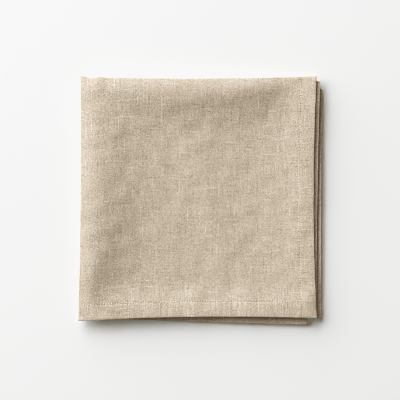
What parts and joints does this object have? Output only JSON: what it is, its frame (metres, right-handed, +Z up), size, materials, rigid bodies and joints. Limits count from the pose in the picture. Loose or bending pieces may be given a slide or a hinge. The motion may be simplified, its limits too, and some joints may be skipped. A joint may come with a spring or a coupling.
{
  "type": "folded cloth napkin",
  "caption": "Hemmed natural linen napkin, folded in half twice into a square stack that lies flat, with soft rolled folds and loose open hems.",
  "frame": {"origin": "on the table, under the middle of the folded square", "axes": "+Z up from the table, +Y towards the back fold, +X towards the open side hems"},
  "size_m": [0.2274, 0.2301, 0.0097],
  "materials": {
    "linen": "undyed plain-weave linen, matte, with uneven threads",
    "thread": "matte linen-coloured sewing thread"
  },
  "bodies": {
    "root": {"napkin": "linen"}
  },
  "joints": []
}
